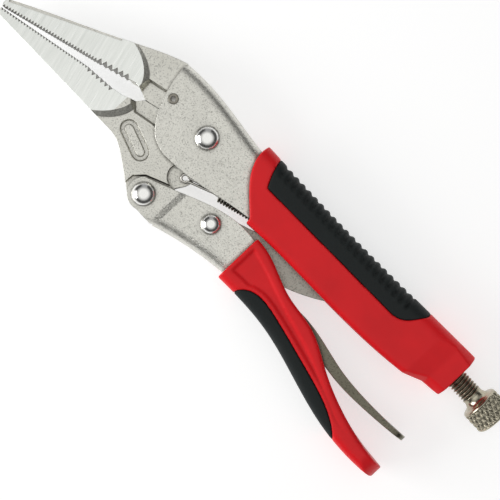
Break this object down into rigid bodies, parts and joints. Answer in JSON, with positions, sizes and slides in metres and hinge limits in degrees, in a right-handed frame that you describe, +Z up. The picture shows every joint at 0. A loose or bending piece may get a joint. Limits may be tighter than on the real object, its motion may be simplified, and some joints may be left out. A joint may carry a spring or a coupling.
{
  "type": "locking pliers",
  "caption": "Long-nose locking pliers with an over-centre linkage, wire cutter, knurled adjusting screw, release lever and soft grips.",
  "frame": {"origin": "centre of the overall outline, on the surface that the pliers lie on", "axes": "+X back along the handles to the adjusting knob, +Y towards the upper handle's back, +Z up, square to the tool's side"},
  "size_m": [0.229, 0.0572, 0.02],
  "materials": {
    "jaw_steel": "satin nickel plated forging with ground flats",
    "handle_steel": "satin nickel plated pressed sheet with a fine grain",
    "link_steel": "plated, dull",
    "screw_steel": "dark nickel plate with a warm tint",
    "lever_steel": "dark nickel plate with a warm tint",
    "spring_steel": "bright drawn wire",
    "rivet_steel": "polished plated head",
    "grip_red": "soft satin moulding",
    "grip_black": "matt ribbed moulding"
  },
  "bodies": {
    "upper_handle_body": {"upper_handle": "handle_steel", "upper_jaw": "jaw_steel", "main_pivot_rivet": "rivet_steel", "jaw_retaining_pin": "rivet_steel", "upper_grip": "grip_red", "upper_grip_insert": "grip_black"},
    "lower_jaw_body": {"lower_jaw": "jaw_steel", "return_spring": "spring_steel"},
    "lower_handle_body": {"lower_handle": "handle_steel", "lower_grip": "grip_red", "lower_grip_insert": "grip_black", "jaw_link_rivet": "rivet_steel", "toggle_rivet": "rivet_steel", "release_lever_rivet": "rivet_steel"},
    "toggle_link_body": {"toggle_link": "link_steel"},
    "release_lever_body": {"release_lever": "lever_steel"},
    "adjusting_screw_body": {"adjusting_screw": "screw_steel"}
  },
  "joints": [
    {"name": "jaw_pivot", "type": "hinge", "parent": "upper_handle_body", "child": "lower_jaw_body", "pos_m": [-0.02905, 0.01306, 0.01], "axis": [0, 0, 1], "range_deg": [0, 20], "deforming": ["return_spring"]},
    {"name": "handle_pivot", "type": "hinge", "parent": "lower_jaw_body", "child": "lower_handle_body", "pos_m": [-0.03035, -0.01674, 0.01], "axis": [0, 0, 1], "range_deg": [-65, 1]},
    {"name": "link_pivot", "type": "hinge", "parent": "lower_handle_body", "child": "toggle_link_body", "pos_m": [-0.00615, -0.00685, 0.01], "axis": [0, 0, 1], "range_deg": [-1, 64]},
    {"name": "release_lever_pivot", "type": "hinge", "parent": "lower_handle_body", "child": "release_lever_body", "pos_m": [0.03495, -0.00995, 0.01], "axis": [0, 0, 1], "range_deg": [-8, 0]},
    {"name": "adjusting_screw_travel", "type": "slide", "parent": "upper_handle_body", "child": "adjusting_screw_body", "axis": [1, 0, 0], "range_m": [0, 0.012]}
  ],
  "couplings": [
    {"joint": "handle_pivot", "follows": "jaw_pivot", "ratio": -3.2},
    {"joint": "link_pivot", "follows": "jaw_pivot", "ratio": 3.16}
  ]
}
